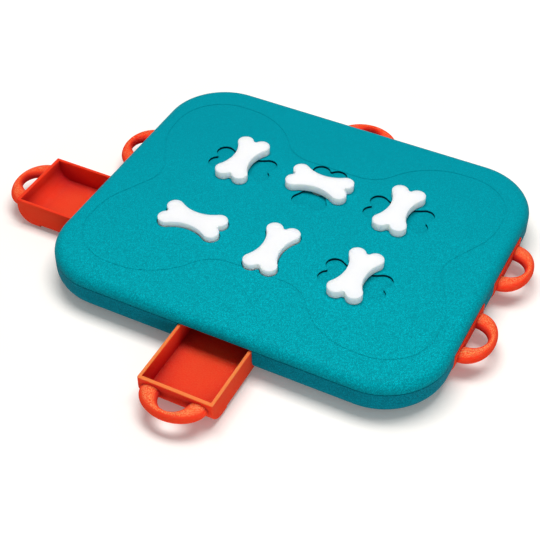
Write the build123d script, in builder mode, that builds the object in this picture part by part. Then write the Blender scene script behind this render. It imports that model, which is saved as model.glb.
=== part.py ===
"""Dog puzzle feeder: a treat board with six locking drawers and six bone-shaped turn knobs.

Millimetres, +Z up. The origin is the middle of the board on the surface that it stands on.
+X points to the right end of the board and -Y to the long side with the open front drawer.
"""
from build123d import *
import os
from math import atan2, cos, degrees, hypot, pi, radians, sin, sqrt
from typing import NamedTuple

# ------------------------------------------------------------------ board
board_length = 400.0
board_depth = 333.0
corner_radius = 64.0
foot_height = 3.5
base_height = 28.5          # underside of the base to the parting line
cover_height = 12.0         # parting line to the top surface
cover_edge_radius = 11.0
base_edge_radius = 17.0
shell_wall = 2.5
shadow_gap_height = 0.8     # fine dark line all round between the shells
shadow_gap_depth = 1.1

half_length = board_length / 2
half_depth = board_depth / 2
base_bottom_z = foot_height
floor_top_z = base_bottom_z + shell_wall
parting_z = base_bottom_z + base_height
top_z = parting_z + cover_height
plate_under_z = top_z - shell_wall

# ------------------------------------------------------------------ lip that centres the cover
lip_width = 1.5
lip_depth = 1.6
lip_clearance = 0.2
lip_end_clearance = 1.0     # from the end of the lip to a drawer's bay
lip_root = 5.0              # parting line to the top of the lip's thick root

# ------------------------------------------------------------------ big bone engraved on the cover
groove_width = 1.6
groove_depth = 0.4
groove_side_margin = 19.5   # board's end to the outermost point of a lobe
groove_long_margin = 30.0   # board's long side to the outermost point of a lobe
groove_lobe_width = 76.5    # lobe, along the board's end
groove_lobe_length = 98.5   # lobe, along the board's long side
groove_notch_depth = 31.5   # notch between the two lobes of one end
groove_waist_depth = 51.5   # how far the waist lies inside the lobes
groove_waist_slope = 34.5   # from a lobe to the level part of the waist
groove_notch_radius = 30.0
groove_flank_radius = 75.0
groove_lobe_radius = 50.0
groove_shoulder_radius = 75.0
groove_waist_radius = 38.0

# ------------------------------------------------------------------ drawers
row_offset = 51.5           # side drawers, either side of the board's middle
drawer_width = 74.8
drawer_reach = 121.0        # board's side to the drawer's rear face
drawer_proud = 1.0          # how far the closed drawer stands out of the board
drawer_travel = 70.0
drawer_play = 4.0           # how far a locked drawer can be drawn before its lock holds it
drawer_return = 2.0         # how far the left side's open drawer is pushed back from its stop
drawer_wall = 3.0
drawer_front_wall = 3.5
drawer_floor = 2.5
drawer_side_round = 1.2
drawer_rim_round = 0.5
rim_gap = 1.0               # drawer's rim to the parting line
side_clearance = 0.6
slide_clearance = 0.3
pad_length = 25.0           # thick front end of the drawer's underside
compartment_length = 96.5   # treat compartment, front wall to partition
partition_wall = 2.5

drawer_bottom_z = floor_top_z + slide_clearance
rim_z = parting_z - rim_gap
cavity_floor_z = drawer_bottom_z + drawer_floor
pad_rear_x = drawer_proud - pad_length
cavity_front_x = drawer_proud - drawer_front_wall
cavity_width = drawer_width - 2 * drawer_wall
cavity_curve_radius = base_edge_radius - drawer_front_wall
partition_front_x = cavity_front_x - compartment_length
partition_rear_x = partition_front_x - partition_wall
rear_wall_x = drawer_wall - drawer_reach

# ------------------------------------------------------------------ drawer pulls
handle_width = 66.4
handle_reach = 24.4
handle_gap_width = 28.4
handle_gap_reach = 16.5
handle_thickness = 10.7
handle_drop = 9.7           # rim to the middle of the pull
handle_root = 1.5           # how far the pull is let into the drawer's front
handle_sections = 13

handle_z = rim_z - handle_drop

# ------------------------------------------------------------------ stop for the open drawer
lug_width = 8.0
lug_height = 3.2
stop_clearance = 0.3
stop_rib = 2.5
stop_rib_gap = 0.7          # drawer's rim to the rib's lower edge

# ------------------------------------------------------------------ drawer bays in the base
bay_rail = 2.0
bay_rail_gap = 2.4          # top of the rails to the drawer's rim
bay_rail_length = 117.0

bay_width = drawer_width + 2 * side_clearance

# ------------------------------------------------------------------ bone knobs
lock_inset = 114.0          # board's side to the axis of the knob
bone_length = 65.4
bone_width = 34.7
bone_lobe_radius = 8.2
bone_waist = 19.6
bone_notch_radius = 2.5
bone_height = 8.6
bone_top_round = 0.5
bone_foot_round = 0.8
bone_rest_gap = 0.05        # under the bone, where it slides on the cover
recess_depth = 2.8
recess_clearance = 1.0
recess_floor = 3.0
recess_shoulder = 2.5       # plastic around the recess, below the plate
recess_rim_round = 0.4
stem_width = 7.0
stem_clearance = 0.1
lift_play = 1.0             # how far a raised bone can still be lifted
locked_turn = 90.0

# ------------------------------------------------------------------ lock keys
hub_diameter = 13.5
hub_clearance = 0.1
snap_head_diameter = 16.4
snap_head_height = 1.2
snap_side_clearance = 0.3
snap_recess_depth = 1.6
key_end_clearance = 0.15
key_flange_diameter = 22.0
key_flange_height = 2.2
paddle_width = 22.0
paddle_thickness = 4.0
paddle_leg = 4.0
paddle_foot = 4.0
paddle_length = 20.0        # flange to the paddle's lower edge
key_sweep_clearance = 0.9
notch_drop = 1.5            # below the paddle's lower edge

recess_floor_z = top_z - recess_depth
recess_under_z = recess_floor_z - recess_floor
snap_recess_z = recess_floor_z - snap_recess_depth
snap_head_z = snap_recess_z + key_end_clearance
flange_top_z = recess_under_z - key_end_clearance
flange_under_z = flange_top_z - key_flange_height
paddle_tip_z = flange_under_z - paddle_length
raised_bone_z = top_z + bone_rest_gap
dropped_bone_z = recess_floor_z + bone_rest_gap
stem_length = raised_bone_z - flange_under_z + lift_play
socket_width = stem_width + 2 * stem_clearance
rear_notch_width = 2 * (hypot(paddle_width / 2, paddle_thickness / 2) + key_sweep_clearance)
rear_notch_z = paddle_tip_z - notch_drop

# ------------------------------------------------------------------ screws
bone_screw_shank = 3.2
bone_screw_length = 12.0
bone_screw_head = 9.0
bone_screw_head_height = 2.2
case_screw_shank = 3.5
case_screw_length = 26.0
case_screw_head = 7.0
case_screw_head_height = 2.4
screw_head_round = 0.6
pilot_extra = 1.0           # free depth beyond the tip of a screw
cross_width = 1.1
cross_length = 4.0
cross_depth = 1.2

# ------------------------------------------------------------------ posts that the screws join
boss_diameter = 10.0
boss_height = 18.5          # above the base's underside
boss_screw_clearance = 0.25
boss_head_clearance = 0.5
screw_head_depth = 4.0      # underside of the base to the seat of the screw's head
post_diameter = 9.0
corner_post_inset = 48.0    # from the board's sides, both ways
flank_post_x = 60.0
flank_post_inset = 38.5
middle_post_x = 50.0

boss_top_z = base_bottom_z + boss_height
head_seat_z = base_bottom_z + screw_head_depth

# ------------------------------------------------------------------ feet
foot_diameter = 20.0
foot_round = 1.0
foot_neck = 6.0
foot_barb = 8.5
foot_barb_height = 1.6
foot_inset_x = 75.0
foot_inset_y = 48.0


class Station(NamedTuple):
    """One drawer and its knob, placed by the middle of the drawer's mouth."""
    name: str
    mouth_x: float
    mouth_y: float
    heading: float          # direction in which the drawer pulls out, in degrees from +X
    free: bool              # knob turned in line and dropped
    drawn: float            # how far the drawer is pulled out


stations = [
    Station("left_back", -half_length, row_offset, 180, False, 0),
    Station("left_front", -half_length, -row_offset, 180, True, drawer_travel - drawer_return),
    Station("middle_back", 0, half_depth, 90, False, drawer_play),
    Station("middle_front", 0, -half_depth, -90, True, drawer_travel),
    Station("right_back", half_length, row_offset, 0, False, 0),
    Station("right_front", half_length, -row_offset, 0, False, 0),
]


def along(station, outward, turn=0.0):
    """Place on a drawer's axis, so far outward from the board's side, turned about Z."""
    heading = radians(station.heading)
    x = station.mouth_x + outward * cos(heading)
    y = station.mouth_y + outward * sin(heading)
    return Location((x, y, 0), (0, 0, station.heading + turn))


def save(part, name):
    """Label a finished piece and write its STEP file."""
    part.label = name
    export_step(part, f"parts/{name}.step")


os.makedirs("parts", exist_ok=True)

mouths = [along(station, 0) for station in stations]
lock_axes = [along(station, -lock_inset) for station in stations]
both_ways = [(x, y) for x in (-1, 1) for y in (-1, 1)]
post_places = [
    (way_x * x, way_y * y)
    for x, y in (
        (half_length - corner_post_inset, half_depth - corner_post_inset),
        (flank_post_x, half_depth - flank_post_inset),
    )
    for way_x, way_y in both_ways
] + [(-middle_post_x, 0), (middle_post_x, 0)]
foot_places = [(0, 0)] + [
    (way_x * (half_length - foot_inset_x), way_y * (half_depth - foot_inset_y))
    for way_x, way_y in both_ways
]

# ------------------------------------------------------------------ outline of a small bone
# A quarter of it is three arcs that touch: waist, lobe and the notch between two lobes.
lobe_x = bone_length / 2 - bone_lobe_radius
lobe_y = bone_width / 2 - bone_lobe_radius
waist_rise = bone_waist / 2 - lobe_y
waist_radius = (lobe_x**2 + waist_rise**2 - bone_lobe_radius**2) / (
    2 * (bone_lobe_radius - waist_rise)
)
waist_centre_y = bone_waist / 2 + waist_radius
notch_centre_x = lobe_x + sqrt((bone_lobe_radius + bone_notch_radius) ** 2 - lobe_y**2)
waist_angle = degrees(atan2(lobe_x, waist_centre_y - lobe_y))
notch_angle = degrees(atan2(lobe_y, notch_centre_x - lobe_x))

with BuildSketch() as bone_outline:
    with BuildLine():
        CenterArc((0, waist_centre_y), waist_radius, -90, waist_angle)
        CenterArc((lobe_x, lobe_y), bone_lobe_radius, -notch_angle, 90 + waist_angle + notch_angle)
        CenterArc((notch_centre_x, 0), bone_notch_radius, 180 - notch_angle, notch_angle)
        mirror(about=Plane.XZ)
        mirror(about=Plane.YZ)
    make_face()

with BuildSketch() as recess_outline:
    add(bone_outline.sketch)
    offset(amount=recess_clearance)

with BuildSketch() as shoulder_outline:
    add(bone_outline.sketch)
    offset(amount=recess_clearance + recess_shoulder)

# ------------------------------------------------------------------ outline of the engraved bone
lobe_reach_x = half_length - groove_side_margin
lobe_reach_y = half_depth - groove_long_margin
waist_mouth_x = lobe_reach_x - groove_lobe_length
notch_corner = (lobe_reach_x - groove_notch_depth, 0, groove_notch_radius)
quarter_corners = [
    (lobe_reach_x, lobe_reach_y - groove_lobe_width, groove_flank_radius),
    (lobe_reach_x, lobe_reach_y, groove_lobe_radius),
    (waist_mouth_x, lobe_reach_y, groove_shoulder_radius),
    (
        waist_mouth_x - groove_waist_slope,
        lobe_reach_y - groove_waist_depth,
        groove_waist_radius,
    ),
]


def turned(corners, way_x, way_y):
    """The corners mirrored to another quarter of the board."""
    return [(way_x * x, way_y * y, radius) for x, y, radius in corners]


groove_corners = (
    [notch_corner]
    + turned(quarter_corners, 1, 1)
    + turned(reversed(quarter_corners), -1, 1)
    + turned([notch_corner], -1, 1)
    + turned(quarter_corners, -1, -1)
    + turned(reversed(quarter_corners), 1, -1)
)

with BuildSketch() as groove_outline:
    with BuildLine():
        FilletPolyline(
            *[(x, y) for x, y, radius in groove_corners],
            radius=[radius for x, y, radius in groove_corners],
            close=True,
        )
    make_face()

# ------------------------------------------------------------------ top cover
with BuildPart() as top_cover:
    with BuildSketch(Plane.XY.offset(parting_z)):
        RectangleRounded(board_length, board_depth, corner_radius)
    extrude(amount=cover_height)
    fillet(faces().sort_by(Axis.Z)[-1].edges(), cover_edge_radius)
    offset(amount=-shell_wall, openings=faces().sort_by(Axis.Z)[0])
    with BuildSketch(Plane.XY.offset(parting_z)):
        RectangleRounded(board_length, board_depth, corner_radius)
        RectangleRounded(
            board_length - 2 * shadow_gap_depth, board_depth - 2 * shadow_gap_depth,
            corner_radius - shadow_gap_depth, mode=Mode.SUBTRACT,
        )
    extrude(amount=shadow_gap_height, mode=Mode.SUBTRACT)
    # lip that hangs inside the base's wall, with a gap at each drawer
    lip_inset = shell_wall + lip_clearance
    for inset, low, high in (
        (shell_wall, parting_z, parting_z + lip_root),
        (lip_inset, parting_z - lip_depth, parting_z),
    ):
        with BuildSketch(Plane.XY.offset(low)):
            RectangleRounded(
                board_length - 2 * inset, board_depth - 2 * inset, corner_radius - inset
            )
            inner = lip_inset + lip_width
            RectangleRounded(
                board_length - 2 * inner, board_depth - 2 * inner, corner_radius - inner,
                mode=Mode.SUBTRACT,
            )
        extrude(amount=high - low)
    with Locations(*mouths):
        with Locations((0, 0, parting_z)):
            Box(
                2 * (lip_inset + 2 * lip_width), bay_width + 2 * lip_end_clearance, 2 * lip_depth,
                align=(Align.CENTER, Align.CENTER, Align.MAX), mode=Mode.SUBTRACT,
            )
    # ribs that stop the open drawers
    with Locations(*mouths):
        with Locations((rear_wall_x + drawer_travel + stop_clearance, 0, plate_under_z)):
            Box(
                stop_rib, drawer_width, plate_under_z - rim_z - stop_rib_gap,
                align=(Align.MIN, Align.CENTER, Align.MAX),
            )
    # recesses for the bones, each with a round hole for the hub of its key
    with BuildSketch(Plane.XY.offset(recess_under_z)):
        with Locations(*lock_axes):
            add(shoulder_outline.sketch)
    extrude(amount=plate_under_z - recess_under_z)
    with BuildSketch(Plane.XY.offset(recess_floor_z)):
        with Locations(*lock_axes):
            add(recess_outline.sketch)
    extrude(amount=recess_depth, mode=Mode.SUBTRACT)
    fillet(
        faces().filter_by(Plane.XY).filter_by_position(
            Axis.Z, top_z, top_z).sort_by(SortBy.AREA)[-1].inner_wires().edges(),
        recess_rim_round,
    )
    with Locations(*lock_axes):
        with Locations((0, 0, recess_floor_z)):
            CounterBoreHole(
                hub_diameter / 2 + hub_clearance,
                snap_head_diameter / 2 + snap_side_clearance,
                snap_recess_depth,
                depth=recess_floor + snap_recess_depth,
            )
    # screw posts
    with BuildSketch(Plane.XY.offset(boss_top_z)):
        with Locations(*post_places):
            Circle(post_diameter / 2)
    extrude(amount=plate_under_z - boss_top_z)
    with BuildSketch(Plane.XY.offset(boss_top_z)):
        with Locations(*post_places):
            Circle(case_screw_shank / 2)
    extrude(amount=head_seat_z + case_screw_length + pilot_extra - boss_top_z, mode=Mode.SUBTRACT)
    # engraved line
    with BuildSketch(Plane.XY.offset(top_z - groove_depth)):
        with BuildSketch(mode=Mode.PRIVATE) as groove_hole:
            add(groove_outline.sketch)
            offset(amount=-groove_width / 2)
        add(groove_outline.sketch)
        offset(amount=groove_width / 2)
        add(groove_hole.sketch, mode=Mode.SUBTRACT)
    extrude(amount=groove_depth, mode=Mode.SUBTRACT)
save(top_cover.part, "top_cover")

# ------------------------------------------------------------------ base tray
with BuildPart() as base_form:
    with BuildSketch(Plane.XY.offset(base_bottom_z)):
        RectangleRounded(board_length, board_depth, corner_radius)
    extrude(amount=base_height)
    fillet(faces().sort_by(Axis.Z)[0].edges(), base_edge_radius)

with BuildPart() as bay_rails:
    with Locations(*mouths):
        with Locations((0, -(bay_width + bay_rail) / 2, base_bottom_z),
                       (0, (bay_width + bay_rail) / 2, base_bottom_z)):
            Box(
                bay_rail_length, bay_rail, rim_z - bay_rail_gap - base_bottom_z,
                align=(Align.MAX, Align.CENTER, Align.MIN),
            )
    add(base_form.part, mode=Mode.INTERSECT)

with BuildPart() as base_tray:
    add(base_form.part)
    offset(amount=-shell_wall, openings=faces().sort_by(Axis.Z)[-1])
    add(bay_rails.part)
    # drawer mouths
    mouth_depth = slide_clearance - pad_rear_x
    with Locations(*mouths):
        with Locations((-mouth_depth, 0, 0)):
            Box(
                2 * mouth_depth, bay_width, 2 * parting_z,
                align=(Align.MIN, Align.CENTER, Align.CENTER), mode=Mode.SUBTRACT,
            )
    # screw bosses
    with BuildSketch(Plane.XY.offset(base_bottom_z)):
        with Locations(*post_places):
            Circle(boss_diameter / 2)
    extrude(amount=boss_height)
    with Locations(*[(x, y, base_bottom_z) for x, y in post_places]):
        with Locations(Location((0, 0, 0), (180, 0, 0))):
            CounterBoreHole(
                case_screw_shank / 2 + boss_screw_clearance,
                case_screw_head / 2 + boss_head_clearance,
                screw_head_depth,
                depth=boss_height,
            )
    # holes for the feet
    with BuildSketch(Plane.XY.offset(base_bottom_z)):
        with Locations(*foot_places):
            Circle(foot_neck / 2)
    extrude(amount=shell_wall, mode=Mode.SUBTRACT)
save(base_tray.part, "base_tray")

# ------------------------------------------------------------------ drawer pull
# A loop whose round section is thick at the roots and slim in the middle, in the drawer's frame.
with BuildPart() as pull:
    for index in range(handle_sections):
        angle = pi * index / (handle_sections - 1)
        outer = Vector(handle_reach * sin(angle), handle_width / 2 * cos(angle))
        inner = Vector(handle_gap_reach * sin(angle), handle_gap_width / 2 * cos(angle))
        across = outer - inner
        middle = (outer + inner) / 2 + Vector(drawer_proud, 0, handle_z)
        with BuildSketch(Plane(middle, x_dir=across, z_dir=across.cross(Vector(0, 0, 1)))):
            with BuildLine():
                for start in (0, 90, 180, 270):
                    EllipticalCenterArc(
                        (0, 0), across.length / 2, handle_thickness / 2, start, arc_size=90
                    )
            make_face()
    loft()
    extrude(faces().filter_by(Plane.YZ), amount=handle_root)

# ------------------------------------------------------------------ drawer, with its pull
# Its own frame has the origin at the middle of the mouth and +X outward.
with BuildPart() as drawer:
    with BuildSketch(Plane.XZ):
        with BuildLine():
            FilletPolyline(
                (-drawer_reach, drawer_bottom_z),
                (-drawer_reach, rim_z),
                (drawer_proud, rim_z),
                (drawer_proud, base_bottom_z),
                (pad_rear_x, base_bottom_z),
                (pad_rear_x, drawer_bottom_z),
                radius=[0, 0, 0, base_edge_radius, 0, 0],
                close=True,
            )
        make_face()
    extrude(amount=drawer_width / 2, both=True)
    front_edges = edges().filter_by(
        lambda edge: edge.center().X > drawer_proud - base_edge_radius / 2
        and abs(edge.center().Y) > drawer_width / 2 - drawer_side_round
        and edge.center().Z < rim_z - drawer_side_round
    )
    fillet(front_edges, drawer_side_round)
    # treat compartment, its front end curved like the drawer's front
    with BuildSketch(Plane.XZ):
        with BuildLine():
            FilletPolyline(
                (partition_front_x, rim_z),
                (cavity_front_x, rim_z),
                (cavity_front_x, cavity_floor_z),
                (partition_front_x, cavity_floor_z),
                radius=[0, 0, cavity_curve_radius, 0],
                close=True,
            )
        make_face()
    extrude(amount=cavity_width / 2, both=True, mode=Mode.SUBTRACT)
    # chamber for the lock key, open at the rear where the key passes
    with Locations((partition_rear_x, 0, cavity_floor_z)):
        Box(
            partition_rear_x - rear_wall_x, cavity_width, rim_z - cavity_floor_z,
            align=(Align.MAX, Align.CENTER, Align.MIN), mode=Mode.SUBTRACT,
        )
    with Locations((rear_wall_x, 0, rear_notch_z)):
        Box(
            2 * drawer_wall, rear_notch_width, rim_z - rear_notch_z,
            align=(Align.CENTER, Align.CENTER, Align.MIN), mode=Mode.SUBTRACT,
        )
    fillet(faces().sort_by(Axis.Z)[-1].edges(), drawer_rim_round)
    # lugs that meet the cover's rib when the drawer is fully open
    lug_y = (drawer_width - lug_width) / 2 - drawer_side_round
    with Locations((rear_wall_x, lug_y, rim_z), (rear_wall_x, -lug_y, rim_z)):
        Box(
            drawer_wall - drawer_rim_round, lug_width, lug_height + drawer_rim_round,
            align=(Align.MAX, Align.CENTER, Align.CENTER),
        )
    add(pull.part)

# ------------------------------------------------------------------ bone knob
# Its own frame has the origin on the knob's axis at the bone's underside, the bone along X.
with BuildPart() as bone:
    add(bone_outline.sketch)
    extrude(amount=bone_height)
    fillet(faces().sort_by(Axis.Z)[-1].edges(), bone_top_round)
    fillet(faces().sort_by(Axis.Z)[0].edges(), bone_foot_round)
    with BuildSketch():
        Rectangle(stem_width, stem_width)
    extrude(amount=-stem_length)
    with BuildSketch(Plane.XY.offset(-stem_length)):
        Circle(bone_screw_shank / 2)
    extrude(amount=bone_screw_length + pilot_extra, mode=Mode.SUBTRACT)

# ------------------------------------------------------------------ lock key
# Its own frame has the origin on the axis at the board's resting plane, the paddle along X.
with BuildPart() as lock_key:
    with BuildSketch(Plane.XY.offset(flange_under_z)):
        Circle(key_flange_diameter / 2)
    extrude(amount=key_flange_height)
    with BuildSketch(Plane.XY.offset(flange_top_z)):
        Circle(hub_diameter / 2)
    extrude(amount=snap_head_z - flange_top_z)
    with BuildSketch(Plane.XY.offset(snap_head_z)):
        Circle(snap_head_diameter / 2)
    extrude(amount=snap_head_height)
    with Locations((0, 0, paddle_tip_z)):
        Box(
            paddle_width, paddle_thickness, paddle_length,
            align=(Align.CENTER, Align.CENTER, Align.MIN),
        )
    with Locations((0, 0, paddle_tip_z + paddle_foot)):
        Box(
            paddle_width - 2 * paddle_leg, 2 * paddle_thickness, paddle_length - paddle_foot,
            align=(Align.CENTER, Align.CENTER, Align.MIN), mode=Mode.SUBTRACT,
        )
    with BuildSketch(Plane.XY.offset(flange_under_z)):
        Rectangle(socket_width, socket_width)
    extrude(amount=recess_floor_z - flange_under_z, mode=Mode.SUBTRACT)


def screw(shank_diameter, length, head_diameter, head_height):
    """Pan-head cross screw, its head's seat at the origin and its tip along +Z."""
    with BuildPart() as made:
        with BuildSketch(Plane.XY.offset(-head_height)):
            Circle(head_diameter / 2)
        extrude(amount=head_height)
        fillet(faces().sort_by(Axis.Z)[0].edges(), screw_head_round)
        with BuildSketch():
            Circle(shank_diameter / 2)
        extrude(amount=length)
        with BuildSketch(Plane.XY.offset(-head_height)):
            Rectangle(cross_length, cross_width)
            Rectangle(cross_width, cross_length)
        extrude(amount=cross_depth, mode=Mode.SUBTRACT)
    return made.part


bone_screw = screw(
    bone_screw_shank, bone_screw_length, bone_screw_head, bone_screw_head_height
)
case_screw = screw(
    case_screw_shank, case_screw_length, case_screw_head, case_screw_head_height
)

# ------------------------------------------------------------------ the pieces of each station
for station in stations:
    turn = 0.0 if station.free else locked_turn
    bone_z = dropped_bone_z if station.free else raised_bone_z
    with BuildPart() as placed_drawer:
        with Locations(along(station, station.drawn)):
            add(drawer.part)
    save(placed_drawer.part, f"drawer_{station.name}")
    with BuildPart() as placed_key:
        with Locations(along(station, -lock_inset, turn)):
            add(lock_key.part)
    save(placed_key.part, f"lock_key_{station.name}")
    with BuildPart() as placed_bone:
        with Locations(along(station, -lock_inset, turn)):
            with Locations((0, 0, bone_z)):
                add(bone.part)
    save(placed_bone.part, f"bone_{station.name}")
    with BuildPart() as placed_screw:
        with Locations(along(station, -lock_inset, turn)):
            with Locations((0, 0, bone_z - stem_length)):
                add(bone_screw)
    save(placed_screw.part, f"bone_screw_{station.name}")

# ------------------------------------------------------------------ case screws
with BuildPart() as case_screws:
    with Locations(*[(x, y, head_seat_z) for x, y in post_places]):
        add(case_screw)
save(case_screws.part, "case_screws")

# ------------------------------------------------------------------ push-in rubber feet
with BuildPart() as rubber_feet:
    with BuildSketch():
        with Locations(*foot_places):
            Circle(foot_diameter / 2)
    extrude(amount=foot_height)
    fillet(faces().group_by(Axis.Z)[0].edges(), foot_round)
    with BuildSketch(Plane.XY.offset(foot_height)):
        with Locations(*foot_places):
            Circle(foot_neck / 2)
    extrude(amount=shell_wall)
    with BuildSketch(Plane.XY.offset(floor_top_z)):
        with Locations(*foot_places):
            Circle(foot_barb / 2)
    extrude(amount=foot_barb_height)
save(rubber_feet.part, "rubber_feet")
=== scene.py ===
"""Dog puzzle feeder: finish of every surface, light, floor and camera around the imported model.

Metres, +Z up. The origin is the middle of the board on the surface that it stands on.
"""
import math

import bpy
from mathutils import Matrix, Vector


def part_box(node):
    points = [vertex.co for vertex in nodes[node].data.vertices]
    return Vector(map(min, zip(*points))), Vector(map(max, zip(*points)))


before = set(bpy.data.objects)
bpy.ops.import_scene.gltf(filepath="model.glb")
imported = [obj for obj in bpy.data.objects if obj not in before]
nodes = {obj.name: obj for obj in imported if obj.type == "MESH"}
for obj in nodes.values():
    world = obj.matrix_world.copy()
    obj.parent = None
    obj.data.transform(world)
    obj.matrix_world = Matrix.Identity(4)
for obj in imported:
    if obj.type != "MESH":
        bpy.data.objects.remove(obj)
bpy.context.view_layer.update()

# ------------------------------------------------------------------ camera of the photograph
image_width = 540                # pixels, square picture
focal_length = 1230.07           # pixels
principal_point = (272.77, 311.24)
camera_azimuth = math.radians(26.58)
camera_elevation = math.radians(45.24)
camera_roll = math.radians(0.45)
camera_distance = 1.16708
camera_target = Vector((0.01767, -0.08476, 0.0))
sensor_width = 36.0              # millimetres, as Blender wants it

# ------------------------------------------------------------------ light
key_power = 13.6                 # watts, soft light from above
key_size = (0.95, 0.5)
key_place = Vector((0.0, 0.05, 1.25))
fill_power = 3.0                 # watts, low from the front right
fill_size = (0.9, 0.2)
fill_place = Vector((0.65, -1.0, 0.16))
sky_strength = 0.25              # what the sky lights the object with; it is seen at 1

# ------------------------------------------------------------------ floor
floor_radius = 6.0
floor_corners = 64
floor_tone = (0.75, 0.75, 0.75, 1.0)         # what the floor reflects on the object
floor_near_tone = (1.0, 0.96, 0.91, 1.0)     # what the camera sees of it beside the board
tint_end, white_start = 0.3, 0.42            # that tint fades between these distances
near_radius, far_radius = 0.35, 1.2
near_lift, far_lift = 0.11, 0.95             # glow seen at those distances, up to white


def srgb(red, green, blue):
    """A colour written as 0 to 255 display values, as the linear values a shader takes."""
    linear = []
    for value in (red, green, blue):
        share = value / 255
        linear.append(share / 12.92 if share <= 0.04045 else ((share + 0.055) / 1.055) ** 2.4)
    return (*linear, 1.0)


# ------------------------------------------------------------------ colours
WHITE = (1.0, 1.0, 1.0, 1.0)
# the cover's teal, with painted light that makes it brighter from back left to front right
cover_less_lit = srgb(0, 144, 159)
cover_more_lit = srgb(0, 153, 164)
cover_edge_shade = srgb(0, 117, 131)               # painted shade on the lower part of the rolled edge
# the base tray's darker teal, partly painted shade on its upright band
base_tone_and_shade = srgb(0, 120, 136)
# painted shade on the walls of the bones' recesses
recess_painted_shade = srgb(0, 42, 56)
pit_tint = (0.55, 0.64, 0.7, 1.0)            # multiplies the teal in the grain's pits
glint_tint = (1.0, 2.0, 2.0, 1.0)              # and brightens it on its tips, as painted glints
orange_plain = srgb(250, 68, 40)
# painted shade in the drawers' hollows
orange_hollow_shade = srgb(185, 26, 34)
# the rims' colour, with a paler painted highlight towards the front of the board
orange_rim = srgb(252, 60, 34)
orange_rim_lit = srgb(255, 138, 76)
# painted highlights on the grain's tips
orange_highlights = (srgb(252, 78, 42), srgb(255, 164, 104))
knob_whites = (srgb(253, 252, 246), srgb(255, 255, 250))
key_whites = (srgb(222, 221, 214), srgb(236, 235, 229))
steel_greys = (srgb(168, 172, 178), srgb(206, 209, 213))
rubber_blacks = (srgb(38, 40, 42), srgb(58, 60, 62))

# ------------------------------------------------------------------ places on the board
cover_low, cover_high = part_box("top_cover")
recess_field = (0.125, 0.092)    # half the part of the top that has the bones' recesses
groove_reach = 0.0006            # depth of the engraved line, and a little
recess_reach = 0.0035            # depth of the bones' recesses, and a little
upright_slope, flat_slope = 0.5, 0.85        # Z of the normal on a wall, and past its rounding
light_slant = 0.35                # share of X, beside -Y, in the way from back left to front right
light_start, light_end = -0.13, 0.16           # along that way
hollow_reach = 0.04              # how far the painted shade in a drawer looks for its walls
hollow_open, outside_open = 0.45, 0.85       # openness in a hollow, and outside it
highlight_slope = 0.82                 # Z of the normal from which painted highlights on the tips begin to show
highlight_low, highlight_high = 0.013, 0.02      # heights between which they come up
rim_level = 0.031                # rims of the drawers
rim_start, rim_full = 0.0012, 0.0004         # below that level, where the rim's colour comes in
lit_start, lit_full = -0.12, -0.19           # Y between which the rims' colour gets paler with a painted highlight
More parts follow.
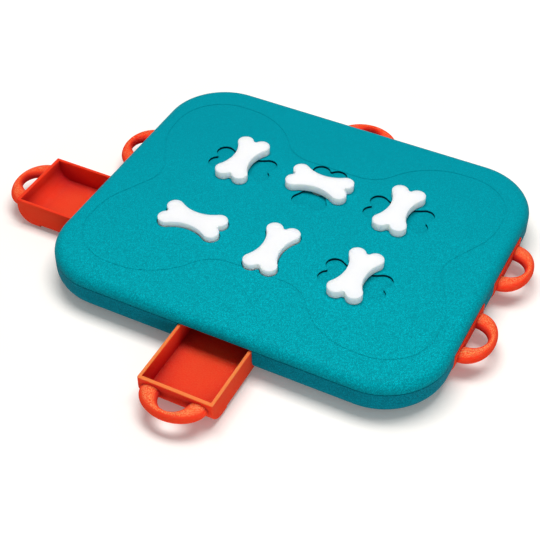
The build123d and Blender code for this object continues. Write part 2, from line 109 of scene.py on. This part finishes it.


# ------------------------------------------------------------------ node helpers
class Shader:
    """A new material with its Principled shader, and short ways to add nodes to it."""

    def __init__(self, name, roughness=0.5, specular=0.5):
        self.material = bpy.data.materials.new(name)
        self.material.use_nodes = True
        self.tree = self.material.node_tree
        self.surface = self.tree.nodes["Principled BSDF"]
        self.surface.inputs["Roughness"].default_value = roughness
        self.surface.inputs["Specular IOR Level"].default_value = specular
        place = self.tree.nodes.new("ShaderNodeTexCoord")
        self.place = place.outputs["Object"]
        self.facing = place.outputs["Normal"]

    def link(self, source, target):
        """Join two sockets."""
        self.tree.links.new(source, target)

    def noise(self, size, detail=2.0, roughness=0.5):
        """Noise with features of about this size, in metres."""
        node = self.tree.nodes.new("ShaderNodeTexNoise")
        node.inputs["Scale"].default_value = 1 / size
        node.inputs["Detail"].default_value = detail
        node.inputs["Roughness"].default_value = roughness
        self.link(self.place, node.inputs["Vector"])
        return node.outputs["Fac"]

    def grains(self, size):
        """A random colour for each grain of about this size, in metres."""
        node = self.tree.nodes.new("ShaderNodeTexVoronoi")
        node.inputs["Scale"].default_value = 1 / size
        self.link(self.place, node.inputs["Vector"])
        return node.outputs["Color"]

    def openness(self, reach):
        """1 on the outside to 0 in the piece's own hollows, as far as this reach, in metres."""
        node = self.tree.nodes.new("ShaderNodeAmbientOcclusion")
        node.only_local = True
        node.inputs["Distance"].default_value = reach
        return node.outputs["AO"]

    def ramp(self, source, *stops):
        """Colours at places from 0 to 1 along the source's value."""
        node = self.tree.nodes.new("ShaderNodeValToRGB")
        elements = node.color_ramp.elements
        while len(elements) < len(stops):
            elements.new(0.5)
        for element, (place, colour) in zip(elements, stops):
            element.position = place
            element.color = colour
        self.link(source, node.inputs["Fac"])
        return node.outputs["Color"]

    def put(self, value, target):
        """Give a socket another socket's value, or a number or colour."""
        if isinstance(value, bpy.types.NodeSocket):
            self.link(value, target)
        else:
            target.default_value = value

    def mix(self, share, first, second, blend="MIX"):
        """Two colours mixed; the share is a number or a socket."""
        node = self.tree.nodes.new("ShaderNodeMix")
        node.data_type = "RGBA"
        node.blend_type = blend
        for key, value in ((0, share), (6, first), (7, second)):
            self.put(value, node.inputs[key])
        return node.outputs[2]

    def steps(self, source, start, end):
        """A grey straight from one (value, grey) to another, and level outside the two."""
        node = self.tree.nodes.new("ShaderNodeMapRange")
        node.inputs["From Min"].default_value, node.inputs["To Min"].default_value = start
        node.inputs["From Max"].default_value, node.inputs["To Max"].default_value = end
        self.link(source, node.inputs["Value"])
        return node.outputs["Result"]

    def between(self, source, low, high):
        """The source's 0 to 1 spread over another range."""
        return self.steps(source, (0.0, low), (1.0, high))

    def calculate(self, operation, first, second=0.0):
        """One sum on numbers or sockets."""
        node = self.tree.nodes.new("ShaderNodeMath")
        node.operation = operation
        self.put(first, node.inputs[0])
        self.put(second, node.inputs[1])
        return node.outputs["Value"]

    def times(self, first, *others):
        """Everything given, multiplied."""
        for other in others:
            first = self.calculate("MULTIPLY", first, other)
        return first

    def parts(self, vector):
        """X, Y and Z of a vector."""
        node = self.tree.nodes.new("ShaderNodeSeparateXYZ")
        self.link(vector, node.inputs["Vector"])
        return node.outputs

    def bump(self, height, depth):
        """Relief of this depth, in metres."""
        node = self.tree.nodes.new("ShaderNodeBump")
        node.inputs["Strength"].default_value = 1.0
        node.inputs["Distance"].default_value = depth
        self.link(height, node.inputs["Height"])
        self.link(node.outputs["Normal"], self.surface.inputs["Normal"])

    def colour(self, source):
        """Base colour of the surface."""
        self.link(source, self.surface.inputs["Base Color"])

    def sheen_of(self, source, low, high):
        """Roughness that follows the source's 0 to 1 over this range."""
        self.link(self.between(source, low, high), self.surface.inputs["Roughness"])

    def scatter(self, weight, scale, radius):
        """Light that goes into the plastic; the scale is in metres."""
        self.surface.inputs["Subsurface Weight"].default_value = weight
        self.surface.inputs["Subsurface Scale"].default_value = scale
        self.surface.inputs["Subsurface Radius"].default_value = radius


# ------------------------------------------------------------------ materials
def recess_walls(shader):
    """1 on the upright walls of the bones' recesses, where painted shade goes, else 0."""
    x, y, z = shader.parts(shader.place)
    slope = shader.parts(shader.facing)[2]
    return shader.times(
        shader.steps(slope, (upright_slope, 1.0), (flat_slope, 0.0)),
        shader.calculate("GREATER_THAN", z, cover_high[2] - recess_reach),
        shader.calculate("LESS_THAN", z, cover_high[2] - groove_reach),
        shader.calculate("LESS_THAN", shader.calculate("ABSOLUTE", x), recess_field[0]),
        shader.calculate("LESS_THAN", shader.calculate("ABSOLUTE", y), recess_field[1]),
    )


def front_light_share(shader):
    """0 at the back left of the board to 1 at its front right, where painted light makes the
    surface and its grain brighter.
    """
    x, y, _ = shader.parts(shader.place)
    way = shader.calculate("SUBTRACT", shader.times(x, light_slant), y)
    return shader.steps(way, (light_start, 0.0), (light_end, 1.0))


def teal_plastic(name, back, front, edge):
    """Moulded shell with a spark-eroded grain: small pits and tips over soft cloudiness, with
    painted glints on the tips, painted light that brightens it towards the front right, and painted
    shade on the lower rolled edge and on the walls of the bones' recesses.
    """
    shader = Shader(name, specular=0.02)
    grain = shader.grains(0.00055)
    fine = shader.noise(0.0008, detail=1.0)
    cloud = shader.noise(0.04)
    front_lit = front_light_share(shader)
    height = shader.parts(shader.place)[2]
    rolled = shader.steps(height, (cover_low[2], 0.0), (cover_high[2], 1.0))
    # painted light brightens the teal towards the front right; painted shade darkens the lower part
    # of the rolled edge
    tone = shader.mix(rolled, edge, shader.mix(front_lit, back, front))
    # bright grain tips are painted glints, shown more towards the front right
    speckle = shader.ramp(grain, (0.3, pit_tint), (0.42, WHITE), (0.6, WHITE), (0.74, glint_tint))
    speckled = shader.mix(1.0, tone, speckle, "MULTIPLY")
    glint_share = shader.times(shader.between(cloud, 0.5, 1.0), shader.between(front_lit, 0.2, 0.8))
    plain = shader.mix(glint_share, tone, speckled)
    # painted shade on the walls of the bones' recesses
    shader.colour(shader.mix(recess_walls(shader), plain, recess_painted_shade))
    shader.sheen_of(fine, 0.45, 0.7)
    shader.bump(fine, depth=0.00015)
    return shader.material


def orange_plastic():
    """Satin moulded plastic with a shallow grain, with painted shade in its hollows and painted
    highlights on upward tips and on its rims.
    """
    shader = Shader("orange_plastic", specular=0.002)
    shader.scatter(0.7, 0.005, (1.0, 0.2, 0.1))
    grain = shader.noise(0.001, roughness=0.6)
    _, y, height = shader.parts(shader.place)
    slope = shader.parts(shader.facing)[2]

    # painted shade in the drawer's hollows, darker where its own walls close in
    openness = shader.openness(hollow_reach)
    hollow_shade = shader.steps(openness, (hollow_open, 1.0), (outside_open, 0.0))
    plain = shader.mix(hollow_shade, orange_plain, orange_hollow_shade)

    # painted highlights: pale grain tips on upward faces, stronger towards the front right
    tips = shader.ramp(grain, (0.42, orange_highlights[0]), (0.6, orange_highlights[1]))
    upward = shader.steps(slope, (highlight_slope, 0.06), (1.0, 1.0))
    highlight_height = shader.steps(height, (highlight_low, 0.1), (highlight_high, 1.0))
    front_lit = shader.between(front_light_share(shader), 0.3, 0.9)
    tone = shader.mix(shader.times(upward, highlight_height, front_lit), plain, tips)

    # painted highlight on the rims, paler towards the front of the board
    rim = shader.steps(height, (rim_level - rim_start, 0.0), (rim_level - rim_full, 1.0))
    lit = shader.steps(y, (lit_start, 0.0), (lit_full, 1.0))
    edge = shader.mix(lit, orange_rim, orange_rim_lit)
    shader.colour(shader.mix(shader.times(rim, 0.9), tone, edge))
    shader.sheen_of(grain, 0.28, 0.5)
    shader.bump(grain, depth=0.00025)
    return shader.material


def white_plastic():
    """Smooth white knobs with a faint grain."""
    shader = Shader("white_plastic", roughness=0.45, specular=0.3)
    shader.scatter(1.0, 0.008, (1.0, 1.0, 0.9))
    grain = shader.noise(0.001)
    shader.colour(shader.ramp(grain, (0.3, knob_whites[0]), (0.7, knob_whites[1])))
    shader.bump(grain, depth=0.00005)
    return shader.material


def key_plastic():
    """Inner plastic, as it comes out of its mould."""
    shader = Shader("key_plastic")
    flow = shader.noise(0.006, detail=3.0)
    shader.colour(shader.ramp(flow, (0.3, key_whites[0]), (0.7, key_whites[1])))
    shader.bump(flow, depth=0.00006)
    return shader.material


def zinc_steel():
    """Zinc-plated screws with fine marks."""
    shader = Shader("zinc_steel")
    shader.surface.inputs["Metallic"].default_value = 1.0
    marks = shader.noise(0.0006, detail=4.0)
    shader.colour(shader.ramp(marks, (0.3, steel_greys[0]), (0.7, steel_greys[1])))
    shader.sheen_of(marks, 0.25, 0.45)
    return shader.material


def foot_rubber():
    """Dark matt rubber."""
    shader = Shader("foot_rubber", roughness=0.8, specular=0.3)
    dust = shader.noise(0.0014, detail=3.0)
    shader.colour(shader.ramp(dust, (0.3, rubber_blacks[0]), (0.75, rubber_blacks[1])))
    shader.bump(dust, depth=0.00012)
    return shader.material


def paint(node, material):
    """Give every slot of a CAD node this material."""
    for slot in nodes[node].material_slots:
        slot.material = material


def paint_all():
    """Give every CAD node its material."""
    orange, white, inner, steel = orange_plastic(), white_plastic(), key_plastic(), zinc_steel()
    paint("top_cover", teal_plastic("cover_teal", cover_less_lit, cover_more_lit, cover_edge_shade))
    paint("base_tray", teal_plastic("base_teal", base_tone_and_shade, base_tone_and_shade, base_tone_and_shade))
    paint("case_screws", steel)
    paint("rubber_feet", foot_rubber())
    for node in nodes:
        if node.startswith("drawer_"):
            paint(node, orange)
        elif node.startswith("bone_screw_"):
            paint(node, steel)
        elif node.startswith("bone_"):
            paint(node, white)
        elif node.startswith("lock_key_"):
            paint(node, inner)


# ------------------------------------------------------------------ floor and sky
def seen_directly(tree):
    """1 where the camera, a reflection or glass looks straight at the surface, else 0."""
    path = tree.nodes.new("ShaderNodeLightPath")
    seen = path.outputs["Is Camera Ray"]
    for ray in ("Is Glossy Ray", "Is Transmission Ray"):
        either = tree.nodes.new("ShaderNodeMath")
        either.operation = "MAXIMUM"
        tree.links.new(seen, either.inputs[0])
        tree.links.new(path.outputs[ray], either.inputs[1])
        seen = either.outputs["Value"]
    return seen


def floor_white():
    """Pale floor that keeps the shadow beside the board and runs out into white."""
    shader = Shader("floor_white", roughness=0.9, specular=0.0)
    seen = seen_directly(shader.tree)
    length = shader.tree.nodes.new("ShaderNodeVectorMath")
    length.operation = "LENGTH"
    shader.link(shader.place, length.inputs[0])
    distance = length.outputs["Value"]
    away = shader.steps(distance, (tint_end, 0.0), (white_start, 1.0))
    shader.colour(shader.mix(seen, floor_tone, shader.mix(away, floor_near_tone, WHITE)))
    lift = shader.steps(distance, (near_radius, near_lift), (far_radius, far_lift))
    shader.surface.inputs["Emission Color"].default_value = WHITE
    shader.link(shader.times(seen, lift), shader.surface.inputs["Emission Strength"])
    return shader.material


def make_floor():
    """Round pale floor that keeps the object's shadow and ends in white."""
    mesh = bpy.data.meshes.new("floor")
    angles = [math.tau * corner / floor_corners for corner in range(floor_corners)]
    edge = [(floor_radius * math.cos(a), floor_radius * math.sin(a), 0) for a in angles]
    mesh.from_pydata(edge, [], [list(range(floor_corners))])
    floor = bpy.data.objects.new("floor", mesh)
    bpy.context.scene.collection.objects.link(floor)
    mesh.materials.append(floor_white())


def make_sky():
    """Plain white light from all round, seen as white."""
    world = bpy.data.worlds.new("sky")
    world.use_nodes = True
    bpy.context.scene.world = world
    tree = world.node_tree
    glow = tree.nodes["Background"]
    glow.inputs["Color"].default_value = WHITE
    strength = tree.nodes.new("ShaderNodeMapRange")
    strength.inputs["To Min"].default_value = sky_strength
    strength.inputs["To Max"].default_value = 1.0
    tree.links.new(seen_directly(tree), strength.inputs["Value"])
    tree.links.new(strength.outputs["Result"], glow.inputs["Strength"])


def make_lamp(name, place, size, power):
    """Rectangular soft lamp that faces the middle of the board."""
    data = bpy.data.lights.new(name, "AREA")
    data.shape = "RECTANGLE"
    data.size, data.size_y = size
    data.energy = power
    lamp = bpy.data.objects.new(name, data)
    lamp.location = place
    lamp.rotation_mode = "QUATERNION"
    lamp.rotation_quaternion = (-place).to_track_quat("-Z", "Y")
    bpy.context.scene.collection.objects.link(lamp)


def make_camera():
    """Camera with the photograph's viewpoint, lens and framing."""
    data = bpy.data.cameras.new("camera")
    data.sensor_width = sensor_width
    data.lens = focal_length * sensor_width / image_width
    data.shift_x = 0.5 - principal_point[0] / image_width
    data.shift_y = principal_point[1] / image_width - 0.5
    back = Vector((
        math.sin(camera_azimuth) * math.cos(camera_elevation),
        -math.cos(camera_azimuth) * math.cos(camera_elevation),
        math.sin(camera_elevation),
    ))
    turned = (-back).to_track_quat("-Z", "Y").to_matrix() @ Matrix.Rotation(camera_roll, 3, "Z")
    stand = Matrix.Translation(camera_target + back * camera_distance)
    camera = bpy.data.objects.new("camera", data)
    camera.matrix_world = stand @ turned.to_4x4()
    bpy.context.scene.collection.objects.link(camera)
    bpy.context.scene.camera = camera


paint_all()
make_floor()
make_sky()
make_lamp("key", key_place, key_size, key_power)
make_lamp("fill", fill_place, fill_size, fill_power)
make_camera()
bpy.context.scene.view_settings.view_transform = "Standard"
